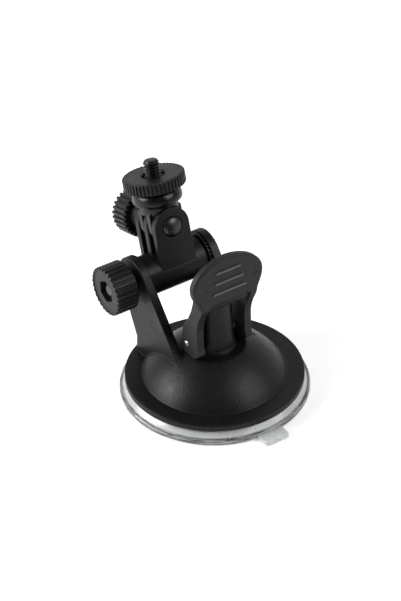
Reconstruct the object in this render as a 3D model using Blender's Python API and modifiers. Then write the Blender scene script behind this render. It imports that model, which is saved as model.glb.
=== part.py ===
"""Suction-cup windscreen mount for a small camera.

World frame (metres, +Z up): the origin is the centre of the suction cup's flat
underside, +X runs along the pivot barrel (the clamp knob is on the -X side),
-Y is the front, where the lock lever and the cup's pull tab are, +Y is the back.
The lock lever stands up (released) and the pivot barrel leans back.
"""
import math

import bmesh
import bpy
from mathutils import Matrix, Vector

# ---------------------------------------------------------------- dimensions
# All in millimetres; MM turns them into metres.
MM = 0.001
GAP = 0.3                  # clearance between touching pieces

# suction cup
CUP_R = 38.0
CUP_LIP_T = 2.4            # thickness of the cup at its lip and in the middle
CUP_SEAT_Z = 5.0           # raised ring the cover presses on
TAB_HALF_W = 5.5
TAB_REACH = 44.0           # front end of the pull tab, from the cup's centre
TAB_Z = (0.35, 2.05)

# base cover: rim ring, dome, seat for the lever's cams, guide tube, two arms
RIM_R = 35.8
RIM_Z = (5.3, 7.8)
DOME_R = 34.4              # radius of the spherical dome
DOME_CZ = -10.8            # height of its centre
DOME_T = 2.0               # wall thickness
SEAT_Z = 21.3              # flat ring round the guide tube
TUBE_R = (8.1, 7.0)        # outside radius at the seat and at the top
TUBE_TOP = 43.0
TUBE_BORE = (6.6, 5.75)

ARM_X = (14.4, 18.1)       # inner and outer faces
ARM_HEAD_R = 9.9

# pivot barrel
AX_Y, AX_Z = 30.4, 40.7    # the barrel's axis, parallel to X
LEAN = 15.6                # degrees the barrel's ears lean back from vertical
BARREL_R = 8.3
BARREL_X = (-14.1, 12.9)
EAR_PITCH = 6.4
EAR_T = 3.0
EAR_HALF_W = 7.9
TILT_H = 18.9              # tilt axis above the barrel's axis, along the ears

# tilt head (heights are above the tilt axis)
TONGUE_T = 2.8
TONGUE_R = 7.5
NECK_R = 7.9
SADDLE_R = 8.3
FLANGE_R = 10.1
HEAD_TOP = 15.25
WHEEL_Z = (15.75, 20.45)
WHEEL_R = 12.5
WHEEL_RIBS = 48
WHEEL_HOLE_R = 4.7
SCREW_R = 6.35 / 2         # 1/4"-20 camera screw
SCREW_TIP = 26.6

# clamp screws
BOLT_R = 2.5               # M5
TILT_BOLT_R = 2.0          # M4
KNOB_R = 10.15
KNOB_RIBS = 28
KNOB_X = (-30.6, -21.0)    # knurled length of the clamp knob
TILT_KNOB_R = 9.6
TILT_KNOB_Y = (13.7, 23.4)

# lock lever, at rest (released, standing up)
PIN_Z = 26.4               # pin axis, parallel to X, at y = 0
PIN_R = 1.5
LIFT = 4.4                 # how far the lever draws the stud up
THROW = 85.0               # degrees of lever travel
LEG_X = (9.5, 12.8)
PAD_T = 3.2
PAD_HALF_W = 16.1
PAD_MID = 58.0             # height of the pad's widest place
PAD_RISE = 10.5            # from there to its top
PAD_DROP = 9.6             # and down to the legs
PAD_TILT = 5.5             # degrees the pad leans back
PAD_FRONT = (-11.5, 54.0)  # a point of its front face (y, z)

SEG = 48                   # segments of the large round pieces
SEG_S = 32                 # of the small ones


# ---------------------------------------------------------------- helpers
for ob in list(bpy.data.objects):
    bpy.data.objects.remove(ob, do_unlink=True)
for col in list(bpy.data.collections):
    bpy.data.collections.remove(col)

PARTS = bpy.data.collections.new("windscreen_suction_mount")
TOOLS = bpy.data.collections.new("cutters")
bpy.context.scene.collection.children.link(PARTS)
bpy.context.scene.collection.children.link(TOOLS)


def material(name, rgb, roughness, metallic=0.0, alpha=1.0, transmission=0.0):
    mat = bpy.data.materials.new(name)
    mat.use_nodes = True
    shader = mat.node_tree.nodes["Principled BSDF"]
    shader.inputs["Base Color"].default_value = (*rgb, 1.0)
    shader.inputs["Roughness"].default_value = roughness
    shader.inputs["Metallic"].default_value = metallic
    shader.inputs["Alpha"].default_value = alpha
    shader.inputs["Transmission Weight"].default_value = transmission
    mat.diffuse_color = (*rgb, 1.0)
    return mat


def link(name, mesh, mat, parent=None, tool=False):
    mesh.name = name
    ob = bpy.data.objects.new(name, mesh)
    (TOOLS if tool else PARTS).objects.link(ob)
    if tool:
        ob.hide_render = True
        ob.display_type = "WIRE"
    else:
        mesh.materials.clear()
        mesh.materials.append(mat)
    if parent is not None:
        ob.parent = parent
    return ob


def finish_round(ob, angle=35.0):
    ob.data.shade_smooth()
    ob.data.set_sharp_from_angle(angle=math.radians(angle))


def evaluated(ob):
    """The object's mesh as its modifiers leave it, with its seams welded."""
    deps = bpy.context.evaluated_depsgraph_get()
    mesh = bpy.data.meshes.new_from_object(ob.evaluated_get(deps))
    bm = bmesh.new()
    bm.from_mesh(mesh)
    bmesh.ops.remove_doubles(bm, verts=bm.verts, dist=1e-6)
    bm.to_mesh(mesh)
    bm.free()
    return mesh


def turned(profile, steps=SEG, closed=False, to=None):
    """A turned solid about Z. The profile (r, z) runs down its outer side."""
    me = bpy.data.meshes.new("profile")
    verts = [(r * MM, 0.0, z * MM) for r, z in profile]
    edges = [(i, i + 1) for i in range(len(verts) - 1)]
    if closed:
        edges.append((len(verts) - 1, 0))
    me.from_pydata(verts, edges, [])
    ob = bpy.data.objects.new("profile", me)
    TOOLS.objects.link(ob)
    sc = ob.modifiers.new("turn", "SCREW")
    sc.axis = "Z"
    sc.angle = math.tau
    sc.steps = sc.render_steps = steps
    sc.use_merge_vertices = True
    sc.merge_threshold = 1e-5
    mesh = evaluated(ob)
    bpy.data.objects.remove(ob, do_unlink=True)
    if to is not None:
        mesh.transform(to)
    return mesh


def plate(outlines, lo, hi, to=None):
    """A flat piece from closed outlines in XY, between the heights lo and hi."""
    cu = bpy.data.curves.new("outline", "CURVE")
    cu.dimensions = "2D"
    cu.fill_mode = "BOTH"
    cu.extrude = (hi - lo) / 2 * MM
    cu.render_resolution_u = 0
    for pts in outlines:
        sp = cu.splines.new("POLY")
        sp.points.add(len(pts) - 1)
        for p, (x, y) in zip(sp.points, pts):
            p.co = (x * MM, y * MM, 0.0, 1.0)
        sp.use_cyclic_u = True
    ob = bpy.data.objects.new("outline", cu)
    TOOLS.objects.link(ob)
    mesh = evaluated(ob)
    bpy.data.objects.remove(ob, do_unlink=True)
    mesh.transform(Matrix.Translation((0, 0, (lo + hi) / 2 * MM)))
    if to is not None:
        mesh.transform(to)
    return mesh


def box(x, y, z, to=None):
    """A block between the limits given for each axis."""
    bm = bmesh.new()
    bmesh.ops.create_cube(bm, size=1.0)
    size = Vector(((x[1] - x[0]), (y[1] - y[0]), (z[1] - z[0]))) * MM
    mid = Vector(((x[1] + x[0]), (y[1] + y[0]), (z[1] + z[0]))) * MM / 2
    bmesh.ops.scale(bm, vec=size, verts=bm.verts)
    bmesh.ops.translate(bm, vec=mid, verts=bm.verts)
    me = bpy.data.meshes.new("block")
    bm.to_mesh(me)
    bm.free()
    if to is not None:
        me.transform(to)
    return me


def rod(radius, lo, hi, steps=SEG_S, to=None, chamfer=0.0):
    prof = [(0, hi)]
    if chamfer:
        prof += [(radius - chamfer, hi), (radius, hi - chamfer),
                 (radius, lo + chamfer), (radius - chamfer, lo)]
    else:
        prof += [(radius, hi), (radius, lo)]
    return turned(prof + [(0, lo)], steps, to=to)


def prism(sides, across_flats, lo, hi, to=None, turn=0.0):
    r = across_flats / 2 / math.cos(math.pi / sides)
    pts = [(r * math.cos(math.tau * i / sides + turn),
            r * math.sin(math.tau * i / sides + turn)) for i in range(sides)]
    return plate([pts], lo, hi, to=to)


def ring(r, n=SEG_S, cx=0.0, cy=0.0, phase=0.0):
    return [(cx + r * math.cos(math.tau * i / n + phase),
             cy + r * math.sin(math.tau * i / n + phase)) for i in range(n)]


def knurl(radius, ribs, depth, share=0.55):
    """Outline of a ribbed round: flat-topped ribs with sloping sides."""
    pts = []
    for i in range(ribs):
        a = math.tau * i / ribs
        w = math.tau / ribs
        for f, r in ((-0.5 * share, radius), (0.5 * share, radius),
                     (0.5 * share + 0.16, radius - depth),
                     (1.0 - 0.5 * share - 0.16, radius - depth)):
            pts.append(((r) * math.cos(a + f * w), (r) * math.sin(a + f * w)))
    return pts


def combine(ob, other_mesh, operation, name):
    tool = link(name, other_mesh, None, parent=ob.parent, tool=True)
    mod = ob.modifiers.new(name, "BOOLEAN")
    mod.operation = operation
    mod.solver = "EXACT"
    mod.object = tool
    return tool


def join(ob, mesh, name):
    return combine(ob, mesh, "UNION", name)


def cut(ob, mesh, name):
    return combine(ob, mesh, "DIFFERENCE", name)


# Z of a turned mesh onto X (its +Z end towards +X), and onto Y.
Z_TO_X = Matrix.Rotation(math.radians(90), 4, "Y")
Z_TO_Y = Matrix.Rotation(math.radians(-90), 4, "X")
# An outline drawn as (y, z) whose thickness runs along X, and one drawn as
# (x, z) whose thickness runs along Y.
YZ_PLATE = Matrix(((0, 0, 1, 0), (1, 0, 0, 0), (0, 1, 0, 0), (0, 0, 0, 1)))
XZ_PLATE = Matrix(((1, 0, 0, 0), (0, 0, -1, 0), (0, 1, 0, 0), (0, 0, 0, 1)))


def shift(x, y, z):
    return Matrix.Translation((x * MM, y * MM, z * MM))


def empty(name, x, y, z, parent=None, lean=0.0):
    ob = bpy.data.objects.new(name, None)
    PARTS.objects.link(ob)
    ob.empty_display_size = 0.01
    ob.location = (x * MM, y * MM, z * MM)
    ob.rotation_euler = (math.radians(lean), 0, 0)
    ob.parent = parent
    return ob


# ---------------------------------------------------------------- materials
BLACK = material("black_grained_plastic", (0.022, 0.022, 0.024), 0.5)
KNOB_BLACK = material("black_knob_plastic", (0.020, 0.020, 0.022), 0.45)
LEVER_BLACK = material("dark_lever_plastic", (0.032, 0.033, 0.036), 0.5)
CLEAR = material("clear_soft_pvc", (0.86, 0.87, 0.87), 0.25, transmission=0.7)
STEEL = material("bright_steel", (0.60, 0.60, 0.61), 0.3, metallic=1.0)
DARK_STEEL = material("blackened_steel", (0.10, 0.10, 0.105), 0.4, metallic=1.0)
BRASS = material("threaded_brass", (0.62, 0.47, 0.22), 0.35, metallic=1.0)

# ---------------------------------------------------------------- frames
lift_axis = empty("lift_axis", 0, 0, PIN_Z)
lever_axis = empty("lever_axis", 0, 0, 0, parent=lift_axis)
clamp_axis = empty("clamp_axis", 0, AX_Y, AX_Z)
swivel_axis = empty("swivel_axis", 0, AX_Y, AX_Z, lean=-LEAN)
tilt_axis = empty("tilt_axis", 0, 0, TILT_H, parent=swivel_axis)


# ---------------------------------------------------------------- suction cup
def build_cup():
    prof = [(0, CUP_LIP_T), (12.4, CUP_LIP_T), (12.6, 5.0), (14.2, 5.0),
            (15.2, CUP_LIP_T), (26.0, CUP_LIP_T), (28.2, 3.1),
            (30.4, CUP_SEAT_Z), (34.4, CUP_SEAT_Z), (35.8, 3.4),
            (36.6, 2.55), (37.5, 2.45), (CUP_R, 2.0), (CUP_R, 0.5),
            (37.6, 0.0), (0, 0.0)]
    cup = link("suction_cup", turned(prof, 52), CLEAR)
    c = 1.6
    x, y0, y1 = TAB_HALF_W, -35.0, -TAB_REACH
    tab = [(x, y0), (-x, y0), (-x, y1 + c), (-x + 0.3 * c, y1 + 0.3 * c),
           (-x + c, y1), (x - c, y1), (x - 0.3 * c, y1 + 0.3 * c), (x, y1 + c)]
    join(cup, plate([tab], *TAB_Z), "pull_tab_shape")
    finish_round(cup)
    return cup


# ---------------------------------------------------------------- base cover
def dome_arc(radius, z0, z1, n):
    """Points of the dome's section from height z0 to z1."""
    a0 = math.acos((z0 - DOME_CZ) / radius)
    a1 = math.acos((z1 - DOME_CZ) / radius)
    return [(radius * math.sin(a0 + (a1 - a0) * i / n),
             DOME_CZ + radius * math.cos(a0 + (a1 - a0) * i / n))
            for i in range(n + 1)]


def tangent(point, centre, radius, side):
    """Angle, on a circle, of the point where a line from point touches it."""
    d = Vector(point) - Vector(centre)
    return math.atan2(d.y, d.x) + side * math.acos(radius / d.length)


def arm_outline():
    """Side view (y, z) of one arm, from the head down into the cover."""
    c = (AX_Y, AX_Z)
    heel, toe = (28.8, 14.6), (0.3, 20.3)
    a_back = tangent(heel, c, ARM_HEAD_R, 1) % math.tau - math.tau
    a_front = tangent(toe, c, ARM_HEAD_R, -1) % math.tau
    pts = []
    n = 18
    for i in range(n + 1):
        a = a_back + (a_front - a_back) * i / n
        pts.append((c[0] + ARM_HEAD_R * math.cos(a), c[1] + ARM_HEAD_R * math.sin(a)))
    pts += [(-1.5, 18.13), (-1.5, 6.3), (29.4, 6.3), (29.4, 8.0), heel]
    return pts


def build_cover():
    top = TUBE_R[1]
    bottom = TUBE_R[0]
    prof = [(TUBE_BORE[1], TUBE_TOP), (top - 0.35, TUBE_TOP), (top, TUBE_TOP - 0.35),
            (bottom - 0.04, 22.2), (8.75, 21.95), (8.75, SEAT_Z)]
    prof += dome_arc(DOME_R, SEAT_Z, RIM_Z[1], 11)
    prof += [(RIM_R - 0.4, RIM_Z[1]), (RIM_R, RIM_Z[1] - 0.4),
             (RIM_R, RIM_Z[0] + 0.3), (RIM_R - 0.3, RIM_Z[0])]
    prof += dome_arc(DOME_R - DOME_T, RIM_Z[0], SEAT_Z - 2.0, 8)
    prof += [(TUBE_BORE[0], SEAT_Z - 2.0)]
    cover = link("base_cover", turned(prof, 52, closed=True), BLACK)

    # the arms rise out of the dome, and the hollow under it stays clear
    hollow = [(0, DOME_CZ + 33.0)] + dome_arc(33.0, DOME_CZ + 32.8, 1.0, 12) + [(0, 1.0)]
    outline = arm_outline()
    for side, name in ((-1, "left"), (1, "right")):
        lo, hi = sorted((side * ARM_X[0], side * ARM_X[1]))
        arm = link(f"{name}_arm_shape", plate([outline], lo, hi, to=YZ_PLATE), None, tool=True)
        mod = arm.modifiers.new("hollow", "BOOLEAN")
        mod.operation, mod.solver = "DIFFERENCE", "EXACT"
        mod.object = link(f"{name}_arm_hollow", turned(hollow, 52), None, tool=True)
        use = cover.modifiers.new(f"{name}_arm", "BOOLEAN")
        use.operation, use.solver = "UNION", "EXACT"
        use.object = arm

    # bolt holes: round in the left arm, square in the right arm
    at = shift(0, AX_Y, AX_Z)
    cut(cover, rod(BOLT_R + 0.4, -20, -10, 24, to=at @ Z_TO_X), "left_arm_hole")
    cut(cover, prism(4, 2 * BOLT_R + 0.6, 10, 20, to=at @ Z_TO_X, turn=math.pi / 4),
        "right_arm_hole")
    # upright slots that the lever's pin slides in
    w = PIN_R + 0.35
    n = 10
    slot = [(w * math.cos(math.pi * i / n), PIN_Z + LIFT + w * math.sin(math.pi * i / n))
            for i in range(n + 1)]
    slot += [(-w * math.cos(math.pi * i / n), PIN_Z - w * math.sin(math.pi * i / n))
             for i in range(n + 1)]
    cut(cover, plate([slot], -10, 10, to=YZ_PLATE), "pin_slots")
    finish_round(cover, 30)
    return cover


# ---------------------------------------------------------------- stud and pin
def build_stud():
    z = -PIN_Z
    prof = [(0, 36.0 + z), (4.6, 36.0 + z), (5.2, 35.4 + z), (5.2, 6.6 + z),
            (6.4, 4.6 + z), (11.6, 4.6 + z), (12.0, 4.2 + z), (12.0, 2.7 + z), (0, 2.7 + z)]
    stud = link("cup_stud", turned(prof, 40), STEEL, parent=lift_axis)
    cut(stud, rod(PIN_R + 0.25, -8, 8, 24, to=Z_TO_X), "stud_pin_hole")
    finish_round(stud)
    pin = link("lever_pin", rod(PIN_R, -13.3, 13.3, 24, to=Z_TO_X, chamfer=0.3), STEEL,
               parent=lift_axis)
    finish_round(pin)


# ---------------------------------------------------------------- lock lever
def cam_points(n=10):
    """Foot of the lever: the curve whose distance to the seat below the pin
    grows evenly by LIFT over the lever's THROW."""
    start = PIN_Z - SEAT_Z - GAP
    rate = LIFT / math.radians(THROW)
    pts = []
    for i in range(n + 1):
        th = math.radians(THROW) * 0.80 * i / n
        h = start + rate * th
        y = -h * math.sin(th) - rate * math.cos(th)
        z = -h * math.cos(th) + rate * math.sin(th)
        pts.append((y, z))
    return pts


def web_outline():
    """Side view (y, z from the pin) of one leg of the lever."""
    z0 = PIN_Z
    cam = cam_points()
    pts = [(2.9, cam[0][1])] + [p for p in cam if p[0] > -8.35]
    pts += [(-8.6, 25.0 - z0), (-8.25, 26.3 - z0), (-7.7, 27.6 - z0), (-7.6, 30.0 - z0),
            (-7.5, 36.7 - z0), (-8.2, 40.0 - z0), (-9.4, 43.2 - z0), (-10.9, 46.2 - z0),
            (-11.8, 48.2 - z0), (-11.3, 51.5 - z0), (-10.9, 55.0 - z0), (-8.8, 55.6 - z0),
            (-5.6, 53.2 - z0), (-4.7, 48.4 - z0), (-3.5, 44.5 - z0), (-1.0, 39.2 - z0),
            (2.0, 34.8 - z0),
            (2.9, 32.4 - z0), (3.2, 29.9 - z0), (3.3, cam[0][1] + 0.8)]
    return pts


def pad_outline():
    """Front view (x, z) of the thumb pad, notched above the window."""
    pts = []
    n = 22
    leg = LEG_X[1]
    for i in range(n + 1):
        u = math.pi * i / n
        pts.append((PAD_HALF_W * math.cos(u) ** 1.1 if math.cos(u) > 0 else
                    -PAD_HALF_W * (-math.cos(u)) ** 1.1, PAD_MID + PAD_RISE * math.sin(u)))
    m = 6
    for i in range(1, m + 1):
        v = math.pi / 2 * i / m
        pts.append((-leg - (PAD_HALF_W - leg) * math.cos(v) ** 3, PAD_MID - PAD_DROP * math.sin(v)))
    left = [(-LEG_X[0], PAD_MID - PAD_DROP), (-9.2, 48.8), (-8.5, 49.6), (-7.3, 50.0)]
    pts += left + [(-x, z) for x, z in reversed(left)]
    for i in range(m, 0, -1):
        v = math.pi / 2 * i / m
        pts.append((leg + (PAD_HALF_W - leg) * math.cos(v) ** 3, PAD_MID - PAD_DROP * math.sin(v)))
    return pts


def build_lever():
    y0, z0 = PAD_FRONT
    lean = Matrix.Rotation(math.radians(-PAD_TILT), 4, "X")
    # pad plane: the outline's z is measured along the pad from PAD_FRONT
    pts = [(x, z - z0) for x, z in pad_outline()]
    place = shift(0, y0, z0 - PIN_Z) @ lean
    pad = plate([pts], -PAD_T, 0, to=place @ XZ_PLATE)
    lever = link("lock_lever", pad, LEVER_BLACK, parent=lever_axis)
    web = web_outline()
    for side, name in ((-1, "left"), (1, "right")):
        lo, hi = sorted((side * LEG_X[0], side * LEG_X[1]))
        join(lever, plate([web], lo, hi, to=YZ_PLATE), f"lever_{name}_leg")
    bar = [(y, z - PIN_Z) for y, z in ((-11.5, 50.5), (-9.9, 45.9), (-6.2, 45.9), (-5.5, 50.0),
                                       (-6.4, 52.6), (-9.0, 55.2), (-11.0, 55.4))]
    join(lever, plate([bar], -LEG_X[0] - 0.4, LEG_X[0] + 0.4, to=YZ_PLATE), "lever_crossbar")
    for z, half, name in ((62.9, 5.65, "upper"), (58.5, 6.6, "middle"), (54.2, 7.6, "lower")):
        join(lever, box((-half, half), (-0.35, 0.6), (z - z0 - 0.4, z - z0 + 0.4), to=place),
             f"{name}_grip_rib")
    cut(lever, rod(PIN_R + 0.3, -15, 15, 24, to=Z_TO_X), "lever_pin_hole")
    finish_round(lever, 25)
    return lever


# ---------------------------------------------------------------- clamp screw
def build_clamp():
    # dome-headed bolt with a square neck in the right arm
    a = ARM_X[1] + GAP
    dome = [(0, a + 2.9), (1.9, a + 2.7), (3.6, a + 2.1), (4.9, a + 1.1), (5.4, a + 0.3),
            (5.4, a), (BOLT_R, a), (BOLT_R, -28.5), (BOLT_R - 0.5, -29.0), (0, -29.0)]
    bolt = link("clamp_bolt", turned(dome, SEG_S, to=Z_TO_X), STEEL, parent=clamp_axis)
    join(bolt, prism(4, 2 * BOLT_R, a - 3.2, a + 0.6, to=Z_TO_X, turn=math.pi / 4),
         "clamp_bolt_neck")
    finish_round(bolt)

    w = -ARM_X[1] - GAP
    washer = link("clamp_washer", turned([(2.8, w), (5.2, w), (5.2, w - 1.0), (2.8, w - 1.0)],
                                         SEG_S, closed=True, to=Z_TO_X), STEEL, parent=clamp_axis)
    finish_round(washer)

    # ribbed knob with a collar, a through hole and a hexagonal pocket
    lo, hi = KNOB_X
    body = plate([knurl(KNOB_R, KNOB_RIBS, 0.75), ring(BOLT_R + 0.4, 24)], lo, hi, to=Z_TO_X)
    knob = link("clamp_knob", body, KNOB_BLACK, parent=clamp_axis)
    c0 = w - 1.0 - GAP
    join(knob, turned([(BOLT_R + 0.4, c0), (7.6, c0), (7.9, c0 - 0.3), (7.9, hi - 1.5),
                       (BOLT_R + 0.4, hi - 1.5)], SEG_S, closed=True, to=Z_TO_X), "clamp_collar")
    cut(knob, prism(6, 8.5, lo - 1, -23.6, to=Z_TO_X), "clamp_nut_pocket")
    finish_round(knob)
    nut = plate([ring(8.0 / 2 / math.cos(math.pi / 6), 6), ring(BOLT_R + 0.3, 24)],
                -27.8, -23.9, to=Z_TO_X)
    finish_round(link("clamp_nut", nut, STEEL, parent=clamp_axis))

    # toothed ring between the barrel and the right arm
    teeth = []
    n = 36
    for i in range(n):
        a0 = math.tau * i / n
        teeth += [(9.7 * math.cos(a0), 9.7 * math.sin(a0)),
                  (8.9 * math.cos(a0 + math.pi / n), 8.9 * math.sin(a0 + math.pi / n))]
    washer = plate([teeth, ring(4.0, 24)], BARREL_X[1] + GAP, ARM_X[0] - GAP, to=Z_TO_X)
    link("serrated_washer", washer, DARK_STEEL, parent=clamp_axis)


# ---------------------------------------------------------------- pivot barrel
def ear_outline(half_w, radius, low, high, n=16):
    pts = [(-half_w, low), (half_w, low)]
    pts += [(radius * math.cos(math.pi * i / n), high + radius * math.sin(math.pi * i / n))
            for i in range(n + 1)]
    return pts


def build_barrel():
    lo, hi = BARREL_X
    prof = [(0, hi), (BARREL_R - 0.4, hi), (BARREL_R, hi - 0.4),
            (BARREL_R, lo + 0.4), (BARREL_R - 0.4, lo), (0, lo)]
    barrel = link("pivot_barrel", turned(prof, SEG, to=Z_TO_X), BLACK, parent=swivel_axis)
    at = shift(0, 0, TILT_H)
    ear = ear_outline(EAR_HALF_W, EAR_HALF_W, -0.5, TILT_H)
    for k, name in ((-1, "front"), (0, "middle"), (1, "back")):
        mid = k * EAR_PITCH
        join(barrel, plate([ear], -(mid + EAR_T / 2), -(mid - EAR_T / 2), to=XZ_PLATE),
             f"{name}_ear")
    cut(barrel, rod(BOLT_R + 0.4, lo - 1, hi + 1, 24, to=Z_TO_X), "barrel_bore")
    cut(barrel, rod(TILT_BOLT_R + 0.3, -10, 10, 24, to=at @ Z_TO_Y), "ear_holes")
    face = EAR_PITCH + EAR_T / 2
    cut(barrel, rod(4.45, -face - 1, -face + 1.2, SEG_S, to=at @ Z_TO_Y), "bolt_head_recess")
    finish_round(barrel, 30)


# ---------------------------------------------------------------- tilt screw
def build_tilt_screw():
    face = -(EAR_PITCH + EAR_T / 2) + 1.2 - GAP      # underside of the head
    end = TILT_KNOB_Y[1] - 1.8
    prof = [(0, end), (TILT_BOLT_R - 0.4, end), (TILT_BOLT_R, end - 0.4), (TILT_BOLT_R, face),
            (4.15, face), (4.15, face - 0.9), (3.6, face - 1.6), (2.4, face - 2.1),
            (1.1, face - 2.35), (0, face - 2.4)]
    bolt = link("tilt_bolt", turned(prof, SEG_S, to=Z_TO_Y), STEEL, parent=tilt_axis)
    finish_round(bolt)
    back = EAR_PITCH + EAR_T / 2 + GAP
    washer = link("tilt_washer", turned([(2.3, back + 0.9), (4.6, back + 0.9), (4.6, back),
                                         (2.3, back)], SEG_S, closed=True, to=Z_TO_Y), STEEL,
                  parent=tilt_axis)
    finish_round(washer)
    lo, hi = TILT_KNOB_Y
    body = plate([knurl(TILT_KNOB_R, KNOB_RIBS, 0.75), ring(TILT_BOLT_R + 0.4, 24)], lo, hi,
                 to=Z_TO_Y)
    knob = link("tilt_knob", body, KNOB_BLACK, parent=tilt_axis)
    c0 = back + 0.9 + GAP
    join(knob, turned([(TILT_BOLT_R + 0.4, lo + 2), (6.2, lo + 2), (6.2, c0 + 0.4),
                       (5.8, c0), (TILT_BOLT_R + 0.4, c0)], SEG_S, closed=True, to=Z_TO_Y),
         "tilt_collar")
    cut(knob, prism(6, 7.5, hi - 5.8, hi + 1, to=Z_TO_Y), "tilt_nut_pocket")
    finish_round(knob)
    nut = plate([ring(7.0 / 2 / math.cos(math.pi / 6), 6), ring(TILT_BOLT_R + 0.3, 24)],
                hi - 5.5, hi - 2.3, to=Z_TO_Y)
    finish_round(link("tilt_nut", nut, STEEL, parent=tilt_axis))


# ---------------------------------------------------------------- tilt head
def build_head():
    t = HEAD_TOP
    prof = [(0, 8.9), (5.4, 8.9), (5.4, 12.3), (SCREW_R + 0.3, 12.3),
            (SCREW_R + 0.3, t), (8.0, t), (8.7, t - 0.4), (9.4, t - 1.6), (9.9, t - 3.0),
            (FLANGE_R, t - 4.0), (FLANGE_R, t - 4.7), (9.7, t - 5.5), (9.0, t - 6.1),
            (NECK_R, t - 6.5), (NECK_R, 5.0), (0, 5.0)]
    head = link("tilt_head", turned(prof, SEG), BLACK, parent=tilt_axis)
    cut(head, rod(SADDLE_R, -12, 12, 48, to=Z_TO_Y), "ear_saddle")
    n = 24
    for k, name in ((-1, "front"), (1, "back")):
        mid = k * EAR_PITCH / 2
        pts = [(5.6, 8.7), (-5.6, 8.7), (-TONGUE_R, 6.4)]
        pts += [(-TONGUE_R * math.cos(math.pi * i / n), -TONGUE_R * math.sin(math.pi * i / n))
                for i in range(n + 1)]
        pts += [(TONGUE_R, 6.4)]
        join(head, plate([pts], -(mid + TONGUE_T / 2), -(mid - TONGUE_T / 2), to=XZ_PLATE),
             f"{name}_tongue")
    cut(head, rod(TILT_BOLT_R + 0.3, -10, 10, 24, to=Z_TO_Y), "tongue_holes")
    finish_round(head, 30)

    prof = [(0, SCREW_TIP), (2.5, SCREW_TIP), (SCREW_R - 0.1, SCREW_TIP - 0.7),
            (SCREW_R - 0.1, 12.0), (5.1, 12.0), (5.1, 9.2), (0, 9.2)]
    screw = link("camera_screw", turned(prof, SEG_S), STEEL, parent=tilt_axis)
    finish_round(screw)

    wheel = plate([knurl(WHEEL_R, WHEEL_RIBS, 0.5), ring(WHEEL_HOLE_R, SEG_S)], *WHEEL_Z)
    finish_round(link("lock_wheel", wheel, KNOB_BLACK, parent=tilt_axis))
    lo, hi = WHEEL_Z[0] + 0.3, WHEEL_Z[1] - 1.2
    insert = turned([(SCREW_R + 0.3, hi), (WHEEL_HOLE_R - 0.3, hi),
                     (WHEEL_HOLE_R - 0.3, lo), (SCREW_R + 0.3, lo)], SEG_S, closed=True)
    finish_round(link("wheel_insert", insert, BRASS, parent=tilt_axis))


build_cup()
build_cover()
build_stud()
build_lever()
build_clamp()
build_barrel()
build_tilt_screw()
build_head()
bpy.context.view_layer.update()
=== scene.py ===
"""Studio scene of a suction-cup windscreen mount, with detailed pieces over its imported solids.

Lengths inside the builders are millimetres, in the model's own frame: origin under the middle of the
cup, +X along the pivot barrel, -Y the front, +Z up. MM turns them into metres.
"""
import math

import bmesh
import bpy
from mathutils import Matrix, Vector


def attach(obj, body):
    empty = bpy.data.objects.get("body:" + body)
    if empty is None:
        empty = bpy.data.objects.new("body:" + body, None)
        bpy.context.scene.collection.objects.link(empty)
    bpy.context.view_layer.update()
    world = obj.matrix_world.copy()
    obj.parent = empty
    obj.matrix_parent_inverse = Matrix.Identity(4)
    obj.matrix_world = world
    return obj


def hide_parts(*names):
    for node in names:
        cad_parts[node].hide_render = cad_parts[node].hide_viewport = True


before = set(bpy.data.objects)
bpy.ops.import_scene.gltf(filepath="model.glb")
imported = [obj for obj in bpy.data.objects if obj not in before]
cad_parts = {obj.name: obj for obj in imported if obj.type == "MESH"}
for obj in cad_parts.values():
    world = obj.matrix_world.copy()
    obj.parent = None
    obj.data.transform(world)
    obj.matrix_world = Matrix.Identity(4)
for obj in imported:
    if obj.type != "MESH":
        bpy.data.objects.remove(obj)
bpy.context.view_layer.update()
MM = 0.001
TAU = math.tau

# ------------------------------------------------------------------ sizes
GAP = 0.3
CUP_R = 38.0
RIM_R, RIM_LO, RIM_HI = 35.8, 5.3, 7.8
DOME_R, DOME_CZ = 34.4, -10.8
SEAT_Z = 21.3
TUBE_TOP = 43.0
ARM_IN, ARM_OUT, ARM_HEAD_R = 14.4, 18.1, 9.9
AX_Y, AX_Z, LEAN, TILT_H = 30.4, 40.7, 15.6, 18.9
PIN_Z, PIN_R, LIFT, THROW = 26.4, 1.5, 4.4, 85.0
LEG_X = (9.5, 12.8)


# ------------------------------------------------------------------ shaping
def fillet(points, closed=True, seg=4):
    """Rounds the corners of a 2-D path. A point is (x, y) or (x, y, corner radius)."""
    out, n = [], len(points)
    for i, p in enumerate(points):
        r = p[2] if len(p) > 2 else 0.0
        b = Vector(p[:2])
        if r <= 0 or (not closed and i in (0, n - 1)):
            out.append((b.x, b.y))
            continue
        u = Vector(points[i - 1][:2]) - b
        v = Vector(points[(i + 1) % n][:2]) - b
        lu, lv = u.length, v.length
        u, v = u / lu, v / lv
        ang = math.acos(max(-1.0, min(1.0, u.dot(v))))
        if ang > math.pi - 0.02:
            out.append((b.x, b.y))
            continue
        t = min(r / math.tan(ang / 2), 0.48 * lu, 0.48 * lv)
        rr = t * math.tan(ang / 2)
        c = b + (u + v).normalized() * (rr / math.sin(ang / 2))
        s, e = b + u * t - c, b + v * t - c
        a0 = math.atan2(s.y, s.x)
        d = math.atan2(e.y, e.x) - a0
        d = (d + math.pi) % TAU - math.pi
        k = max(2, math.ceil(seg * abs(d) / (math.pi / 2)))
        out += [(c.x + rr * math.cos(a0 + d * j / k), c.y + rr * math.sin(a0 + d * j / k))
                for j in range(k + 1)]
    return out


def to_mesh(bm, name="shape"):
    bmesh.ops.remove_doubles(bm, verts=bm.verts, dist=2e-7)
    bmesh.ops.recalc_face_normals(bm, faces=bm.faces)
    me = bpy.data.meshes.new(name)
    bm.to_mesh(me)
    bm.free()
    return me


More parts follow.
